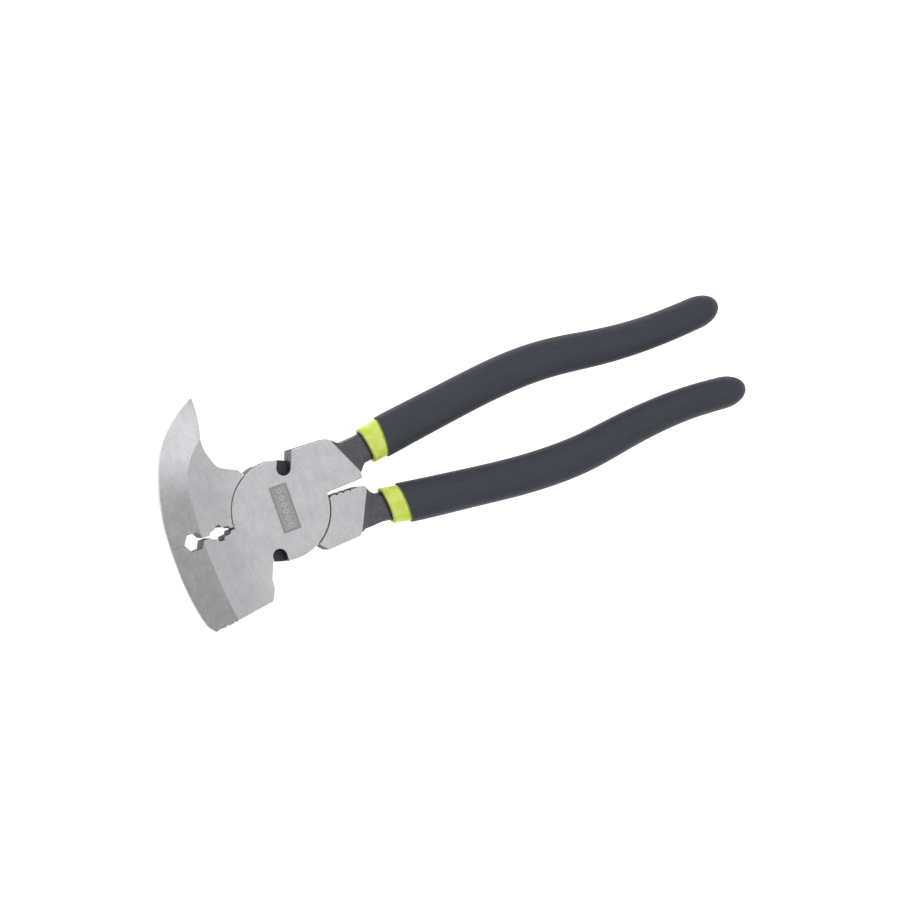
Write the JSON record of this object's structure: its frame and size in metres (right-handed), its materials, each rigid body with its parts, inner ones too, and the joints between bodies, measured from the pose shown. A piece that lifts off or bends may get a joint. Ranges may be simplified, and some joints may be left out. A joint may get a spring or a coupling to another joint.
{
  "type": "fencing pliers",
  "caption": "Fencing pliers with a staple claw, a serrated hammer jaw, side wire cutters, a nut hole and dipped cushion handles, drawn with the jaws closed.",
  "frame": {"origin": "pivot axis, in the plane of the ground back face", "axes": "+X towards the handle ends, +Y towards the claw, +Z out of the front face along the pivot axis"},
  "size_m": [0.2658, 0.0936, 0.012],
  "materials": {
    "forged_steel": "ground faces with fine grinding lines, dark forged skin on the sides and tangs",
    "rivet_steel": "ground flush with the faces",
    "lime_vinyl": "smooth dipped vinyl",
    "dark_vinyl": "matt dipped vinyl with a fine pebbled skin"
  },
  "bodies": {
    "hammer_side": {"hammer_half": "forged_steel", "pivot_rivet": "rivet_steel", "upper_sleeve": "lime_vinyl", "upper_grip": "dark_vinyl"},
    "claw_side": {"claw_half": "forged_steel", "lower_sleeve": "lime_vinyl", "lower_grip": "dark_vinyl"}
  },
  "joints": [
    {"name": "jaw_pivot", "type": "hinge", "parent": "hammer_side", "child": "claw_side", "pos_m": [0, 0, 0], "axis": [0, 0, -1], "range_deg": [0, 38]}
  ]
}
